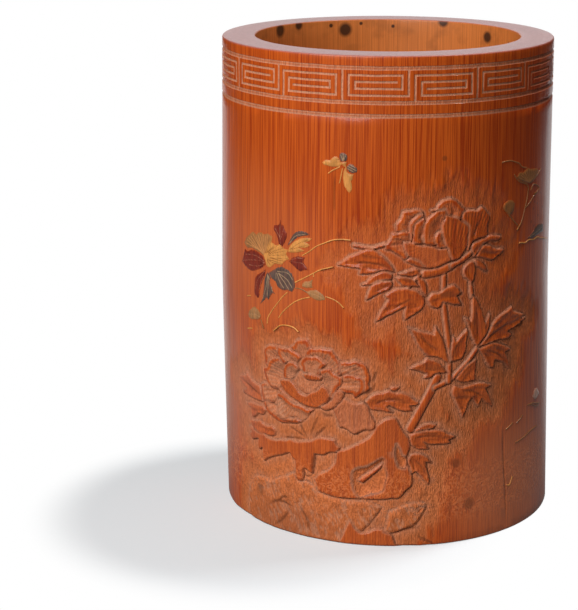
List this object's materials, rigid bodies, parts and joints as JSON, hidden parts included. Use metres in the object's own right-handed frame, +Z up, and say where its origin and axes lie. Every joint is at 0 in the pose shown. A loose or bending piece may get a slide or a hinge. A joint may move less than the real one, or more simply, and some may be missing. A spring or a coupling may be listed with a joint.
{
  "type": "bamboo brush pot",
  "caption": "Upright cylindrical bamboo brush pot with a carved key-fret border, floral relief and lacquer inlay, open at the top to hold writing brushes.",
  "frame": {"origin": "centre of the bounding box at the foot, on the surface the pot stands on", "axes": "+Z up along the pot, -Y towards the carved front"},
  "size_m": [0.1097, 0.1082, 0.155],
  "materials": {
    "bamboo": "satin, aged and varnished",
    "gold_lacquer": "satin gold lacquer",
    "olive_lacquer": "satin dull gold lacquer",
    "russet_lacquer": "satin dark red lacquer",
    "slate_lacquer": "satin grey-black lacquer",
    "shell": "polished pale shell"
  },
  "bodies": {
    "root": {"bamboo_culm": "bamboo", "butterfly_wings": "gold_lacquer", "butterfly_upper_hindwing": "slate_lacquer", "butterfly_lower_hindwing": "slate_lacquer", "gold_bloom": "gold_lacquer", "russet_leaf_left": "russet_lacquer", "russet_leaf_lower": "russet_lacquer", "russet_leaf_top": "russet_lacquer", "russet_leaf_right": "russet_lacquer", "slate_leaf_left": "slate_lacquer", "slate_leaf_right": "slate_lacquer", "slate_leaf_top": "slate_lacquer", "gold_leaf": "gold_lacquer", "olive_leaf_upper": "olive_lacquer", "olive_leaf_lower": "olive_lacquer", "olive_bud_left": "olive_lacquer", "olive_bud_right": "olive_lacquer", "gold_thistle": "olive_lacquer", "shell_pebble": "shell"}
  },
  "joints": []
}
